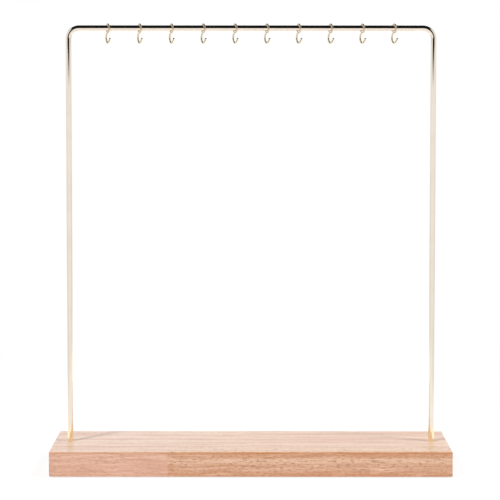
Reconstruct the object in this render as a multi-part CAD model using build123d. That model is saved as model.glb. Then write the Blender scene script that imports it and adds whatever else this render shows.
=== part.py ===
from build123d import *
import math
import os

# Jewelry stand: a bent gold rod on a wooden base, with wire hooks hanging on its top bar.
# Millimetres. +Z is up, +X runs along the base, the front faces -Y.
# The origin is on the table, under the middle of the base.

# Wooden base
base_length = 280.0
base_depth = 80.0
base_thickness = 17.5
base_edge_radius = 0.8

# Anti-slip pads under the base, with their centres set in from its ends and its long sides
pad_diameter = 10.0
pad_thickness = 1.0
pad_edge_radius = 0.3
pad_end_inset = 14.0
pad_side_inset = 12.0

# Rod frame, measured on its centre line
rod_diameter = 4.0
leg_inset = 11.5
bar_rise = 293.5
bend_radius = 7.5

# Fixing of each leg: its shoulder sits on a seat of wood, and a stud goes through to a washer and a nut
seat_thickness = 3.0
socket_clearance = 0.05
socket_chamfer = 0.25
shoulder_width = 0.5
stud_hole_clearance = 0.1
stud_past_nut = 0.8
stud_end_chamfer = 0.4
washer_band = 2.0
washer_thickness = 0.5
washer_clearance = 0.1
nut_wall = 1.25
nut_height = 2.4
nut_clearance = 0.05
nut_corner_chamfer = 0.3
recess_side_room = 1.0
recess_end_room = 1.3

# Wire hooks: a closed eye round the bar and an open bowl under it, in one upright plane
hook_count = 10
hook_end_margin = 20.2
hook_turn = 22.0
wire_diameter = 1.2
eye_gap = 0.05
eye_play = 0.05
eye_wrap = 315.0
bowl_radius = 3.65
bowl_wrap = 220.0
tail_length = 3.6
tip_radius = 0.2

# Sizes worked out from those above
stud_diameter = rod_diameter - 2 * shoulder_width
washer_diameter = stud_diameter + 2 * washer_band
nut_across_flats = stud_diameter + 2 * nut_wall
recess_diameter = washer_diameter + 2 * recess_side_room
recess_depth = washer_thickness + nut_height + stud_past_nut + recess_end_room
socket_depth = base_thickness - seat_thickness - recess_depth
rod_spacing = base_length - 2 * leg_inset
hook_run = rod_spacing - 2 * bend_radius - 2 * hook_end_margin

# Levels, from the table up
base_bottom = pad_thickness
stud_bottom = base_bottom + recess_end_room
nut_bottom = stud_bottom + stud_past_nut
washer_bottom = nut_bottom + nut_height
base_top = base_bottom + base_thickness
shoulder_level = base_top - socket_depth
bar_level = base_top + bar_rise

leg_x = {"left": -rod_spacing / 2, "right": rod_spacing / 2}
standing = (Align.CENTER, Align.CENTER, Align.MIN)


def upright(x, y, bottom, diameter, height):
    """A solid cylinder standing on the level called bottom."""
    return Pos(x, y, bottom) * Cylinder(diameter / 2, height, align=standing)


def base_board():
    """The board with its eased edges and the stepped hole for each leg."""
    block = Box(base_length, base_depth, base_thickness, align=standing)
    board = Pos(0, 0, base_bottom) * fillet(block.edges(), base_edge_radius)
    socket = rod_diameter + 2 * socket_clearance
    passage = stud_diameter + 2 * stud_hole_clearance
    mouth = Cone(socket / 2, socket / 2 + socket_chamfer, socket_chamfer, align=standing)
    for x in leg_x.values():
        board -= upright(x, 0, base_bottom, recess_diameter, recess_depth)
        board -= upright(x, 0, base_bottom, passage, base_thickness)
        board -= upright(x, 0, shoulder_level, socket, socket_depth)
        board -= Pos(x, 0, base_top - socket_chamfer) * mouth
    return board


def frame_rod():
    """One rod bent at two corners, with a thinner stud turned on each end."""
    left, right = leg_x["left"], leg_x["right"]
    corners = [
        (left, 0, shoulder_level),
        (left, 0, bar_level),
        (right, 0, bar_level),
        (right, 0, shoulder_level),
    ]
    line = FilletPolyline(*corners, radius=bend_radius)
    start = Plane(origin=line @ 0, z_dir=line % 0)
    rod = sweep(start * Circle(rod_diameter / 2), path=line)
    for x in leg_x.values():
        stud = upright(x, 0, stud_bottom, stud_diameter, shoulder_level - stud_bottom)
        rod += chamfer(stud.edges().group_by(Axis.Z)[0], stud_end_chamfer)
    return rod


def washer(x):
    """A flat washer against the roof of the recess."""
    bore = stud_diameter + 2 * washer_clearance
    disc = upright(x, 0, washer_bottom, washer_diameter, washer_thickness)
    return disc - upright(x, 0, washer_bottom, bore, washer_thickness)


def nut(x):
    """A hexagon nut under the washer, with the corners of its lower face turned off."""
    hexagon = RegularPolygon(nut_across_flats / 2, 6, major_radius=False)
    corner_radius = nut_across_flats / math.sqrt(3)
    turned = Cylinder(corner_radius, nut_height, align=standing)
    turned = chamfer(turned.edges().group_by(Axis.Z)[0], nut_corner_chamfer)
    body = Pos(x, 0, nut_bottom) * (extrude(hexagon, nut_height) & turned)
    bore = stud_diameter + 2 * nut_clearance
    return body - upright(x, 0, nut_bottom, bore, nut_height)


def pad(x, y):
    """A round anti-slip pad stuck to the underside of the base."""
    disc = upright(x, y, 0, pad_diameter, pad_thickness)
    return fillet(disc.edges().group_by(Axis.Z)[0], pad_edge_radius)


def hook(x):
    """One length of wire: tail, bowl and eye, bent in one upright plane through the bar."""
    turn = math.radians(hook_turn)
    outward = (math.sin(turn), -math.cos(turn), 0)
    normal = (-math.cos(turn), -math.sin(turn), 0)
    sheet = Plane(origin=(x, 0, bar_level), x_dir=outward, z_dir=normal)

    # Turned this far, the eye is a close fit: it hangs on the bar at a point in front and a point behind
    tight_radius = ((rod_diameter + wire_diameter) / 2 + eye_gap) / math.cos(turn)
    eye_radius = tight_radius + eye_play
    eye_middle = -math.sin(turn) * math.sqrt(eye_radius**2 - tight_radius**2)
    bowl_middle = eye_middle - eye_radius - bowl_radius

    lip_angle = 90 + bowl_wrap
    along = math.radians(lip_angle)
    lip = Vector(0, bowl_middle) + Vector(math.cos(along), math.sin(along)) * bowl_radius
    tip = lip + Vector(-math.sin(along), math.cos(along)) * tail_length
    tail = Line(tip, lip)
    bowl = CenterArc((0, bowl_middle), bowl_radius, lip_angle, -bowl_wrap)
    eye = CenterArc((0, eye_middle), eye_radius, -90, eye_wrap)

    line = sheet * Wire([tail, bowl, eye])
    start = Plane(origin=line @ 0, z_dir=line % 0)
    wire = sweep(start * Circle(wire_diameter / 2), path=line)
    return fillet(wire.faces().filter_by(GeomType.PLANE).edges(), tip_radius)


pieces = {"base_board": base_board(), "frame_rod": frame_rod()}
for side, x in leg_x.items():
    pieces[f"washer_{side}"] = washer(x)
    pieces[f"nut_{side}"] = nut(x)

pad_x = base_length / 2 - pad_end_inset
pad_y = base_depth / 2 - pad_side_inset
for depth, y in (("front", -pad_y), ("back", pad_y)):
    for side, x in (("left", -pad_x), ("right", pad_x)):
        pieces[f"pad_{depth}_{side}"] = pad(x, y)

for number in range(hook_count):
    share = number / (hook_count - 1)
    pieces[f"hook_{number + 1:02d}"] = hook((share - 0.5) * hook_run)

os.makedirs("parts", exist_ok=True)
for name, piece in pieces.items():
    export_step(piece, f"parts/{name}.step")
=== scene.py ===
import math

import bmesh
import bpy
from mathutils import Matrix, Vector


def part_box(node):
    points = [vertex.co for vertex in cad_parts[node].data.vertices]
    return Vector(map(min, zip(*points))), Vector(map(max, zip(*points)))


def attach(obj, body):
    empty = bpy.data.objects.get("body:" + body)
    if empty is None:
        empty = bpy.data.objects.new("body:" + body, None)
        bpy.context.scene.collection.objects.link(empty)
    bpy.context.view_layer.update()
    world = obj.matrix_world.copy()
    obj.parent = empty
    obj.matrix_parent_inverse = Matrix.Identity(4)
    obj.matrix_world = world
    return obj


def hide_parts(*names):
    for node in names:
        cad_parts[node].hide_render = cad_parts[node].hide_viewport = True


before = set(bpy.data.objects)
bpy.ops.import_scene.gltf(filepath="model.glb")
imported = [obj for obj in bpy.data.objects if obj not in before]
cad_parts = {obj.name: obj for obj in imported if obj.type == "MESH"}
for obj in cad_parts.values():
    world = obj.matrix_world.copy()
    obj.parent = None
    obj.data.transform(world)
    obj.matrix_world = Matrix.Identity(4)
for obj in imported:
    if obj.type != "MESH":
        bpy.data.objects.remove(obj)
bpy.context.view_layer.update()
scene = bpy.context.scene
scene.view_settings.view_transform = "Standard"


# Base board
# A glued-up board of pale pinkish hardwood, with edges eased by a round-over cutter, in satin varnish.
# A stepped hole near each end takes a leg from above and its washer and nut from below.
board_low, board_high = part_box("base_board")


def add_node(tree, kind, inputs=None, **settings):
    """Adds a node, sets its options, and gives each input a value or joins it to another node's output."""
    node = tree.nodes.new(kind)
    for option, value in settings.items():
        setattr(node, option, value)
    for key, value in (inputs or {}).items():
        if isinstance(value, bpy.types.NodeSocket):
            tree.links.new(value, node.inputs[key])
        else:
            node.inputs[key].default_value = value
    return node


def new_material(name):
    """A material with nothing in it but its Principled shader."""
    material = bpy.data.materials.new(name)
    material.use_nodes = True
    return material, material.node_tree, material.node_tree.nodes["Principled BSDF"]


def calculate(tree, operation, *values):
    """The output of a Math node."""
    return add_node(tree, "ShaderNodeMath", dict(enumerate(values)), operation=operation).outputs[0]


def calculate_vector(tree, operation, inputs):
    """The output of a Vector Math node."""
    return add_node(tree, "ShaderNodeVectorMath", inputs, operation=operation).outputs[0]


def split(tree, vector):
    """The X, Y and Z outputs of a vector."""
    return add_node(tree, "ShaderNodeSeparateXYZ", {"Vector": vector}).outputs


def ease(tree, value, start, end, low=0.0, high=1.0):
    """A smooth step from low to high as a value goes from start to end."""
    limits = {"Value": value, "From Min": start, "From Max": end, "To Min": low, "To Max": high}
    return add_node(tree, "ShaderNodeMapRange", limits, interpolation_type="SMOOTHSTEP").outputs["Result"]


def mottle(tree, vector, stretch, detail=2.0, roughness=0.5, output="Fac"):
    """Noise that is stretched by a scale along each axis."""
    stretched = add_node(tree, "ShaderNodeMapping", {"Vector": vector, "Scale": stretch}).outputs["Vector"]
    values = {"Vector": stretched, "Scale": 1.0, "Detail": detail, "Roughness": roughness}
    return add_node(tree, "ShaderNodeTexNoise", values).outputs[output]


def blend_colour(tree, share, first, second):
    """Mixes two colours. A colour is written as three numbers or comes from another node."""
    node = add_node(tree, "ShaderNodeMix", {"Factor": share}, data_type="RGBA")
    for key, colour in ((6, first), (7, second)):
        if isinstance(colour, bpy.types.NodeSocket):
            tree.links.new(colour, node.inputs[key])
        else:
            node.inputs[key].default_value = (*colour, 1)
    return node.outputs[2]


stave_joint = -0.0200
stave_glue_line = 0.0006
length_joint = -0.0579
length_glue_line = 0.0004
grain_wander = 0.0028
ring_heart_y = 0.060
ring_heart_z = -0.060
pale_band_level = 0.0118
pale_band_full = 0.0010
pale_band_end = 0.0034
pale_top_depth = 0.0020
top_face_depth = 0.0004
pore_depth = 0.0002
yellow_from = -0.10
yellow_full = 0.02
board_middle = (board_low.z + board_high.z) / 2
edge_zone_from = 0.0064
edge_zone_full = 0.0077
low_edge_level = 0.004
high_edge_level = 0.014

pink_deep = (0.70, 0.39, 0.268)
pink_pale = (0.785, 0.47, 0.338)
honey_deep = (0.63, 0.31, 0.172)
honey_pale = (0.78, 0.505, 0.335)
# Colours for the top: a paler tone with a painted sheen
top_pale_and_sheen_left = (0.90, 0.74, 0.61)
top_pale_and_sheen_right = (0.89, 0.71, 0.53)
streak_dark = (0.58, 0.285, 0.18)
streak_pale = (0.93, 0.68, 0.53)
fleck_brown = (0.47, 0.215, 0.13)
# A deeper orange for the painted shade on the eased edges
edge_shade_orange = (0.565, 0.222, 0.066)

wood, tree, shader = new_material("varnished_wood")
surface_place = add_node(tree, "ShaderNodeTexCoord").outputs
place = surface_place["Object"]
along = split(tree, place)

# The front stave is joined from two lengths, the right one with a coarser and yellower figure
in_front = ease(tree, along["Y"], stave_joint, stave_joint - stave_glue_line)
on_right = ease(tree, along["X"], length_joint, length_joint + length_glue_line)
right_length = calculate(tree, "MULTIPLY", in_front, on_right)

# The grain wanders a little up, down and sideways along the board, most of all in the right length
wander = mottle(tree, place, (24.0, 14.0, 14.0), detail=4.0, output="Color")
wander = calculate_vector(tree, "SUBTRACT", {0: wander, 1: (0.5, 0.5, 0.5)})
wander = calculate_vector(tree, "MULTIPLY", {0: wander, 1: (0.0, grain_wander, grain_wander)})
waviness = ease(tree, right_length, 0.0, 1.0, 0.55, 1.0)
wander = calculate_vector(tree, "SCALE", {0: wander, "Scale": waviness})
grain = calculate_vector(tree, "ADD", {0: place, 1: wander})
grain_along = split(tree, grain)

# Growth rings round a heart below and behind the board: streaks on the faces and arcs on the ends
from_heart = calculate(tree, "SUBTRACT", grain_along["Y"], ring_heart_y)
above_heart = calculate(tree, "SUBTRACT", grain_along["Z"], ring_heart_z)
squares = calculate(tree, "POWER", above_heart, 2.0)
squares = calculate(tree, "MULTIPLY_ADD", from_heart, from_heart, squares)
ring_radius = calculate(tree, "SQRT", squares)
ring_place = add_node(tree, "ShaderNodeCombineXYZ", {"X": along["X"], "Y": ring_radius}).outputs[0]
rings = mottle(tree, ring_place, (5.0, 320.0, 1.0))
streaks = mottle(tree, ring_place, (38.0, 1200.0, 1.0), detail=5.0, roughness=0.65)
flecks = mottle(tree, grain, (320.0, 1400.0, 1400.0), roughness=0.6)

# The left length is pink. The right one is honey brown, paler in a band above its middle and near its top
pink_wood = blend_colour(tree, ease(tree, rings, 0.38, 0.62), pink_deep, pink_pale)
off_band = calculate(tree, "ABSOLUTE", calculate(tree, "SUBTRACT", grain_along["Z"], pale_band_level))
in_band = ease(tree, off_band, pale_band_end, pale_band_full)
in_pale_ring = ease(tree, rings, 0.45, 0.65, 0.0, 0.6)
pale_top = board_high.z - pale_top_depth
top_face_from = board_high.z - top_face_depth
near_top = ease(tree, along["Z"], pale_top, top_face_from, 0.0, 0.65)
pale_share = calculate(tree, "MAXIMUM", calculate(tree, "MAXIMUM", in_band, in_pale_ring), near_top)
honey_wood = blend_colour(tree, pale_share, honey_deep, honey_pale)
tone = blend_colour(tree, right_length, pink_wood, honey_wood)

# The top is painted palest, partly its own paler tone and partly a painted sheen of the lit varnish, a
# little yellower towards its right end
top_pale_and_sheen = blend_colour(tree, ease(tree, along["X"], yellow_from, yellow_full), top_pale_and_sheen_left, top_pale_and_sheen_right)
on_top = ease(tree, along["Z"], top_face_from, board_high.z)
top_pale_and_sheen_share = calculate(tree, "MULTIPLY", on_top, ease(tree, rings, 0.36, 0.62, 0.12, 0.66))
tone = blend_colour(tree, top_pale_and_sheen_share, tone, top_pale_and_sheen)

# Dark and pale streaks and short dark flecks lie along the grain
tone = blend_colour(tree, ease(tree, streaks, 0.50, 0.66, 0.0, 0.55), tone, streak_dark)
tone = blend_colour(tree, ease(tree, streaks, 0.50, 0.34, 0.0, 0.45), tone, streak_pale)
fleck_depth = ease(tree, flecks, 0.50, 0.66)
fleck_share = calculate(tree, "MULTIPLY", fleck_depth, ease(tree, right_length, 0.0, 1.0, 0.42, 0.85))
tone = blend_colour(tree, fleck_share, tone, fleck_brown)

# The eased edges are painted a deeper orange, a painted shade where the round-over misses the white
# reflections and the light, most of all at the top and towards the right
normal = split(tree, calculate_vector(tree, "ABSOLUTE", {0: surface_place["Normal"]}))
off_middle = calculate(tree, "ABSOLUTE", calculate(tree, "SUBTRACT", grain_along["Z"], board_middle))
edge_shade_share = ease(tree, normal["Z"], 0.85, 0.45)
for share in (
    ease(tree, off_middle, edge_zone_from, edge_zone_full),
    ease(tree, streaks, 0.35, 0.60, 0.6, 1.0),
    ease(tree, along["Z"], low_edge_level, high_edge_level, 0.35, 1.0),
    ease(tree, along["X"], yellow_from, yellow_full, 0.5, 1.0),
):
    edge_shade_share = calculate(tree, "MULTIPLY", edge_shade_share, share)
tone = blend_colour(tree, edge_shade_share, tone, edge_shade_orange)

tree.links.new(tone, shader.inputs["Base Color"])
tree.links.new(ease(tree, streaks, 0.3, 0.7, 0.29, 0.37), shader.inputs["Roughness"])
shader.inputs["IOR"].default_value = 1.5
pores = calculate(tree, "ADD", streaks, fleck_depth)
bump_inputs = {"Height": pores, "Strength": 0.08, "Distance": pore_depth}
bump = add_node(tree, "ShaderNodeBump", bump_inputs, invert=True)
tree.links.new(bump.outputs["Normal"], shader.inputs["Normal"])


def make_object(shape, name, material):
    """Turns a finished bmesh into an object of the scene."""
    mesh = bpy.data.meshes.new(name)
    shape.to_mesh(mesh)
    shape.free()
    mesh.materials.append(material)
    made = bpy.data.objects.new(name, mesh)
    scene.collection.objects.link(made)
    return made


def finish_piece(shape, name, body, material, stands_for):
    """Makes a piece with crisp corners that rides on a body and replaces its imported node."""
    crisp_from = math.radians(30)
    for edge in shape.edges:
        edge.smooth = edge.calc_face_angle(0) < crisp_from
    piece = make_object(shape, name, material)
    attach(piece, body)
    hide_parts(stands_for)


def turn(shape, profile, x, steps):
    """Turns an open profile of radius and level about an upright axis, as on a lathe."""
    verts = [shape.verts.new((x + radius, 0, level)) for radius, level in profile]
    edges = [shape.edges.new(pair) for pair in zip(verts, verts[1:])]
    bmesh.ops.spin(shape, geom=verts + edges, cent=(x, 0, 0), axis=(0, 0, 1), angle=math.tau, steps=steps,
                   use_merge=True)


board_edge = 0.0008
board_edge_steps = 8
leg_x = sum(corner.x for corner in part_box("nut_right")) / 2
hole_mouth = 0.00215
hole_radius = 0.00205
hole_chamfer = 0.0001
hole_steps = 48
shoulder_level = 0.009
stud_passage = 0.0016
recess_radius = 0.0045
recess_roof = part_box("washer_left")[1].z
same_place = 1e-7
flat_face = 0.9999

board = bmesh.new()
bmesh.ops.create_cube(board, size=1.0)
bmesh.ops.scale(board, vec=board_high - board_low, verts=board.verts)
bmesh.ops.translate(board, vec=(board_low + board_high) / 2, verts=board.verts)
bmesh.ops.bevel(board, geom=board.edges[:], offset=board_edge, offset_type="OFFSET", affect="EDGES",
                segments=board_edge_steps, profile=0.5, material=-1)

# The top and underside are taken off, the stepped holes set in, and both faces filled in round them
plain_faces = [face for face in board.faces if abs(face.normal.z) > flat_face]
bmesh.ops.delete(board, geom=plain_faces, context="FACES_ONLY")
stepped_hole = [
    (hole_mouth, board_high.z),
    (hole_radius, board_high.z - hole_chamfer),
    (hole_radius, shoulder_level),
    (stud_passage, shoulder_level),
    (stud_passage, recess_roof),
    (recess_radius, recess_roof),
    (recess_radius, board_low.z),
]
turn(board, stepped_hole, -leg_x, hole_steps)
turn(board, stepped_hole, leg_x, hole_steps)
for level in (board_low.z, board_high.z):
    rims = [edge for edge in board.edges
            if edge.is_boundary and all(abs(vert.co.z - level) < same_place for vert in edge.verts)]
    bmesh.ops.triangle_fill(board, edges=rims, use_beauty=True, normal=(0, 0, 1))
bmesh.ops.remove_doubles(board, verts=board.verts, dist=same_place)
bmesh.ops.recalc_face_normals(board, faces=board.faces)
for face in board.faces:
    face.smooth = max(abs(part) for part in face.normal) < flat_face
finish_piece(board, "base_board_wood", "stand", wood, "base_board")


# Rod frame
# One length of 4 mm brass rod, bent cold round a former at both corners, polished and plated pale gold.
# Each end is turned down to a threaded stud, and its shoulder sits on wood at the bottom of the hole.
rod_radius = 0.002
bend_radius = 0.0075
beside_bend = 0.0004
bar_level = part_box("frame_rod")[1].z - rod_radius
rod_sides = 48
bend_steps = 24
mirror_seam = 1e-6
stud_radius = 0.0015
stud_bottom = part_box("frame_rod")[0].z
stud_chamfer = 0.0004
thread_pitch = 0.0005
thread_depth = 0.0002
thread_turns = 11
foot_top = 0.0235
foot_fade = 0.0095

plating_deep = (0.83, 0.74, 0.63)
plating_pale = (0.86, 0.775, 0.675)
# A warmer gold for the painted reflection at the feet
foot_reflection_gold = (0.98, 0.83, 0.54)

# The plating is painted a warmer gold at the feet of the legs, a painted reflection of warm light there
gold, tree, shader = new_material("polished_pale_gold")
place = add_node(tree, "ShaderNodeTexCoord").outputs["Object"]
plating = mottle(tree, place, (90.0, 90.0, 90.0), detail=3.0)
polish = mottle(tree, place, (2600.0, 2600.0, 2600.0))
tone = blend_colour(tree, ease(tree, plating, 0.3, 0.7), plating_deep, plating_pale)
foot_reflection_share = ease(tree, split(tree, place)["Z"], foot_top, foot_top + foot_fade, 1.0, 0.0)
tone = blend_colour(tree, foot_reflection_share, tone, foot_reflection_gold)
tree.links.new(tone, shader.inputs["Base Color"])
tree.links.new(ease(tree, polish, 0.3, 0.7, 0.03, 0.06), shader.inputs["Roughness"])
shader.inputs["Metallic"].default_value = 1.0


def pull(shape, ring, along):
    """Draws an open ring of edges out in a straight line and gives back the new open ring."""
    grown = bmesh.ops.extrude_edge_only(shape, edges=ring)["geom"]
    verts = [item for item in grown if isinstance(item, bmesh.types.BMVert)]
    bmesh.ops.translate(shape, verts=verts, vec=along)
    return [item for item in grown if isinstance(item, bmesh.types.BMEdge) and item.is_boundary]


def bend(shape, ring, centre, axis, angle, steps):
    """Draws an open ring of edges round an axis, as a rod is bent round a former, to a new open ring."""
    verts = list({vert for edge in ring for vert in edge.verts})
    grown = bmesh.ops.spin(shape, geom=ring + verts, cent=centre, axis=axis, angle=angle, steps=steps)
    return [item for item in grown["geom_last"] if isinstance(item, bmesh.types.BMEdge)]


rod = bmesh.new()
threaded_stud = [(0.0, stud_bottom), (stud_radius - stud_chamfer, stud_bottom)]
for number in range(thread_turns):
    crest = stud_bottom + stud_chamfer + number * thread_pitch
    threaded_stud.append((stud_radius, crest))
    threaded_stud.append((stud_radius - thread_depth, crest + thread_pitch / 2))
threaded_stud.append((stud_radius, stud_bottom + stud_chamfer + thread_turns * thread_pitch))
threaded_stud.append((stud_radius, shoulder_level))
threaded_stud.append((rod_radius, shoulder_level))
turn(rod, threaded_stud, -leg_x, rod_sides)
bmesh.ops.remove_doubles(rod, verts=rod.verts, dist=same_place)

# The left leg, its bend and half the bar are drawn out of the shoulder, and then mirrored
ring = [edge for edge in rod.edges if edge.is_boundary]
ring = pull(rod, ring, (0, 0, bar_level - bend_radius - shoulder_level - beside_bend))
ring = pull(rod, ring, (0, 0, beside_bend))
bend_centre = (bend_radius - leg_x, 0, bar_level - bend_radius)
ring = bend(rod, ring, bend_centre, (0, 1, 0), math.pi / 2, bend_steps)
ring = pull(rod, ring, (beside_bend, 0, 0))
pull(rod, ring, (leg_x - bend_radius - beside_bend, 0, 0))
left_half = rod.verts[:] + rod.edges[:] + rod.faces[:]
bmesh.ops.mirror(rod, geom=left_half, axis="X", merge_dist=mirror_seam)
bmesh.ops.remove_doubles(rod, verts=rod.verts, dist=same_place)
bmesh.ops.recalc_face_normals(rod, faces=rod.faces)
for face in rod.faces:
    face.smooth = True
finish_piece(rod, "frame_rod_gold", "stand", gold, "frame_rod")


# Washers and nuts
# Bought steel parts with a bright zinc plating: a flat washer against the roof of each recess, and a
# hexagon nut that is run up the stud under it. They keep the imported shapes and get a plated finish.
zinc_dark = (0.55, 0.56, 0.58)
zinc_bright = (0.70, 0.70, 0.69)

steel, tree, shader = new_material("zinc_plated_steel")
place = add_node(tree, "ShaderNodeTexCoord").outputs["Object"]
plating = mottle(tree, place, (700.0, 700.0, 700.0), detail=3.0)
tone = blend_colour(tree, ease(tree, plating, 0.3, 0.7), zinc_dark, zinc_bright)
tree.links.new(tone, shader.inputs["Base Color"])
tree.links.new(ease(tree, plating, 0.3, 0.7, 0.38, 0.24), shader.inputs["Roughness"])
shader.inputs["Metallic"].default_value = 1.0


def dress(names, material):
    """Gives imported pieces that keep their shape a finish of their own."""
    for name in names:
        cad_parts[name].data.materials.clear()
        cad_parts[name].data.materials.append(material)


dress(("washer_left", "washer_right", "nut_left", "nut_right"), steel)


# Pads
# Four discs punched from a sheet of black foam rubber with glue on one side, stuck under the corners of
# the board so that it doesn't slip or scratch.
foam_cells = 2600.0
cell_depth = 0.0002
rubber_black = (0.012, 0.012, 0.013)
rubber_grey = (0.035, 0.035, 0.036)

rubber, tree, shader = new_material("black_foam_rubber")
place = add_node(tree, "ShaderNodeTexCoord").outputs["Object"]
cells = add_node(tree, "ShaderNodeTexVoronoi", {"Vector": place, "Scale": foam_cells}).outputs["Distance"]
tone = blend_colour(tree, ease(tree, cells, 0.1, 0.6), rubber_black, rubber_grey)
tree.links.new(tone, shader.inputs["Base Color"])
tree.links.new(ease(tree, cells, 0.0, 0.7, 0.95, 0.75), shader.inputs["Roughness"])
bump = add_node(tree, "ShaderNodeBump", {"Height": cells, "Strength": 0.5, "Distance": cell_depth})
tree.links.new(bump.outputs["Normal"], shader.inputs["Normal"])
dress(("pad_front_left", "pad_front_right", "pad_back_left", "pad_back_right"), rubber)


# Wire hooks
# Ten lengths of 1.2 mm brass wire, bent round pins and plated pale gold. Each has a closed eye on the bar
# and an open bowl under it, and hangs turned a little to the left, so that it holds itself in place.
hook_count = 10
hook_pitch = 0.0224
hook_turn = math.radians(22.0)
wire_radius = 0.0006
wire_sides = 20
eye_gap = 0.00005
eye_play = 0.00005
tight_radius = (rod_radius + wire_radius + eye_gap) / math.cos(hook_turn)
eye_radius = tight_radius + eye_play
eye_middle = -math.sin(hook_turn) * math.sqrt(eye_radius ** 2 - tight_radius ** 2)
eye_wrap = math.radians(315.0)
eye_steps = 44
bowl_radius = 0.00365
bowl_middle = eye_middle - eye_radius - bowl_radius
bowl_wrap = math.radians(220.0)
bowl_steps = 34
tail_length = 0.0036
tip_radius = 0.0002
tip_steps = 3

wire_deep = (0.64, 0.52, 0.345)
wire_pale = (0.72, 0.605, 0.44)

gold_wire, tree, shader = new_material("pale_gold_wire")
place = add_node(tree, "ShaderNodeTexCoord").outputs["Object"]
plating = mottle(tree, place, (300.0, 300.0, 300.0), detail=3.0)
tone = blend_colour(tree, ease(tree, plating, 0.3, 0.7), wire_deep, wire_pale)
tree.links.new(tone, shader.inputs["Base Color"])
tree.links.new(ease(tree, plating, 0.3, 0.7, 0.12, 0.07), shader.inputs["Roughness"])
shader.inputs["Metallic"].default_value = 1.0

# A hook starts as a ring of wire at its tip, square to the straight tail that runs into the bowl
lip_angle = math.pi / 2 + bowl_wrap
lip = Vector((0, -math.cos(lip_angle) * bowl_radius, bowl_middle + math.sin(lip_angle) * bowl_radius))
into_bowl = Vector((0, -math.sin(lip_angle), -math.cos(lip_angle)))
to_tip = Matrix.Translation(lip - into_bowl * tail_length)
to_tip = to_tip @ Vector((0, 0, 1)).rotation_difference(into_bowl).to_matrix().to_4x4()

for number in range(hook_count):
    name = f"hook_{number + 1:02d}"
    hook = bmesh.new()
    bmesh.ops.create_circle(hook, radius=wire_radius, segments=wire_sides)
    bmesh.ops.transform(hook, matrix=to_tip, verts=hook.verts)
    tip_ring = hook.edges[:]
    ring = pull(hook, tip_ring, into_bowl * tail_length)
    ring = bend(hook, ring, (0, 0, bowl_middle), (1, 0, 0), bowl_wrap, bowl_steps)
    end_ring = bend(hook, ring, (0, 0, eye_middle), (1, 0, 0), -eye_wrap, eye_steps)
    bmesh.ops.edgeloop_fill(hook, edges=tip_ring)
    bmesh.ops.edgeloop_fill(hook, edges=end_ring)
    both_ends = tip_ring + end_ring
    bmesh.ops.bevel(hook, geom=both_ends, offset=tip_radius, offset_type="OFFSET", affect="EDGES",
                    segments=tip_steps, profile=0.5, material=-1)
    hang = Matrix.Translation(((number - (hook_count - 1) / 2) * hook_pitch, 0, bar_level))
    bmesh.ops.transform(hook, matrix=hang @ Matrix.Rotation(hook_turn, 4, "Z"), verts=hook.verts)
    bmesh.ops.recalc_face_normals(hook, faces=hook.faces)
    for face in hook.faces:
        face.smooth = True
    finish_piece(hook, name + "_wire", name, gold_wire, name)


# Floor
# A plain white sweep. Close to the stand it is a matt floor that takes the shadow, and further off it is
# as white as the backdrop. The polished rod mirrors it a little brighter behind the stand.
floor_half = 4.0
shadow_reach = 0.25
white_from = 0.6
behind_glow = 0.35
side_dimming = -0.08

sweep, tree, shader = new_material("white_floor")
shader.inputs["Base Color"].default_value = (0.9, 0.9, 0.9, 1)
shader.inputs["Roughness"].default_value = 1.0
shader.inputs["Specular IOR Level"].default_value = 0.0
place = add_node(tree, "ShaderNodeTexCoord").outputs["Object"]
spot = split(tree, place)
aside = calculate(tree, "ABSOLUTE", spot["X"])
behind = ease(tree, spot["Y"], 0.02, 0.10)
behind = calculate(tree, "MULTIPLY", behind, ease(tree, aside, 0.30, 0.45, 1.0, 0.0))
at_sides = ease(tree, aside, 0.30, 0.60, 0.0, side_dimming)
path = add_node(tree, "ShaderNodeLightPath").outputs
mirrored = calculate(tree, "MULTIPLY_ADD", behind, behind_glow, at_sides)
mirrored = calculate(tree, "MULTIPLY", path["Is Glossy Ray"], mirrored)
distance = add_node(tree, "ShaderNodeVectorMath", {0: place}, operation="LENGTH").outputs["Value"]
white_level = calculate(tree, "ADD", ease(tree, distance, shadow_reach, white_from, 1.1, 1.0), mirrored)
plain_white = add_node(tree, "ShaderNodeEmission", {"Strength": white_level}).outputs["Emission"]
seen = calculate(tree, "MAXIMUM", path["Is Camera Ray"], path["Is Glossy Ray"])
white_share = calculate(tree, "MULTIPLY", seen, ease(tree, distance, shadow_reach, white_from, 0.75, 1.0))
both = add_node(tree, "ShaderNodeMixShader", {0: white_share, 1: shader.outputs["BSDF"], 2: plain_white})
tree.links.new(both.outputs["Shader"], tree.nodes["Material Output"].inputs["Surface"])

floor_shape = bmesh.new()
bmesh.ops.create_grid(floor_shape, x_segments=1, y_segments=1, size=floor_half)
floor = make_object(floor_shape, "floor", sweep)


# Studio
# A white room with a dark band overhead, and white cards in front and behind that show only in reflections.
# Two lamps in front throw the legs' soft shadows on the board, and a wide lamp hangs overhead.
room_white = 0.96
room_dark = 0.01
room_fill = 0.25

world = bpy.data.worlds.new("white_studio")
scene.world = world
world.use_nodes = True
tree = world.node_tree
direction = split(tree, add_node(tree, "ShaderNodeTexCoord").outputs["Generated"])
narrow = ease(tree, calculate(tree, "ABSOLUTE", direction["X"]), 0.56, 0.70, 1.0, 0.0)
upper = ease(tree, direction["Z"], 0.0, 0.01)
dark = calculate(tree, "MULTIPLY", narrow, upper)
path = add_node(tree, "ShaderNodeLightPath").outputs
fill = ease(tree, path["Is Diffuse Ray"], 0.0, 1.0, 1.0, room_fill)
brightness = calculate(tree, "MULTIPLY", ease(tree, dark, 0.0, 1.0, room_white, room_dark), fill)
backdrop = add_node(tree, "ShaderNodeMix", {"Factor": path["Is Camera Ray"], 2: brightness, 3: 1.0})
tree.links.new(backdrop.outputs[0], tree.nodes["Background"].inputs["Strength"])
tree.nodes["Background"].inputs["Color"].default_value = (1, 1, 1, 1)

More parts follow.
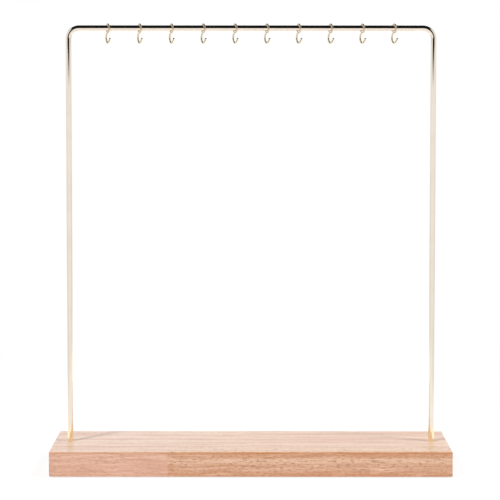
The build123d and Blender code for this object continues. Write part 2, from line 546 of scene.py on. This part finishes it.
# Each card fades to dark along its top, the front one only in its middle
card_half = 1.0
fade_softness = 0.12
fade_strength = 0.99
for name, y, top, fade, fade_reach, side_glow, middle_glow in (
    ("front_card", -0.7, 0.311, 0.051, 0.45, 1.0, 1.0),
    ("back_card", 0.9, 0.54, 0.05, 1.0, 0.8, 1.15),
):
    card_white, tree, shader = new_material(name)
    spot = split(tree, add_node(tree, "ShaderNodeNewGeometry").outputs["Position"])
    aside = calculate(tree, "ABSOLUTE", spot["X"])
    glow = ease(tree, aside, 0.25, 0.40, middle_glow, side_glow)
    fading = ease(tree, spot["Z"], top - fade, top, 0.0, fade_strength)
    in_reach = ease(tree, aside, fade_reach, fade_reach + fade_softness, 1.0, 0.0)
    fading = calculate(tree, "MULTIPLY", fading, in_reach)
    glow = calculate(tree, "MULTIPLY", glow, calculate(tree, "SUBTRACT", 1.0, fading))
    lit = add_node(tree, "ShaderNodeEmission", {"Strength": glow}).outputs["Emission"]
    tree.links.new(lit, tree.nodes["Material Output"].inputs["Surface"])
    card_shape = bmesh.new()
    bmesh.ops.create_grid(card_shape, x_segments=1, y_segments=1, size=1.0)
    bmesh.ops.scale(card_shape, vec=(card_half, top / 2, 1.0), verts=card_shape.verts)
    bmesh.ops.rotate(card_shape, matrix=Matrix.Rotation(math.pi / 2, 3, "X"), verts=card_shape.verts)
    bmesh.ops.translate(card_shape, vec=(0, y, top / 2), verts=card_shape.verts)
    card = make_object(card_shape, name, card_white)
    card.visible_camera = False
    card.visible_diffuse = False
    card.visible_shadow = False

for name, place, size, power in (
    ("lamp_left", Vector((-1.15, -1.25, 1.80)), 0.30, 36.5),
    ("lamp_right", Vector((0.86, -0.42, 1.14)), 0.45, 12.3),
    ("lamp_top", Vector((0.0, 0.25, 2.0)), 1.2, 3.5),
):
    lamp_data = bpy.data.lights.new(name, "AREA")
    lamp_data.shape = "DISK"
    lamp_data.size = size
    lamp_data.energy = power
    lamp = bpy.data.objects.new(name, lamp_data)
    lamp.location = place
    lamp.visible_glossy = False
    lamp.rotation_euler = place.to_track_quat("Z", "Y").to_euler()
    scene.collection.objects.link(lamp)

camera_data = bpy.data.cameras.new("camera")
camera_data.lens = 139.91
camera_data.sensor_width = 36.0
camera_data.shift_x = -0.0020
camera_data.shift_y = -0.0994
look_down = math.radians(3.641)
roll = math.radians(-0.03)
camera = bpy.data.objects.new("camera", camera_data)
camera.location = (0, -1.3723, 0.2780)
camera.rotation_euler = (math.pi / 2 - look_down, roll, 0)
scene.collection.objects.link(camera)
scene.camera = camera
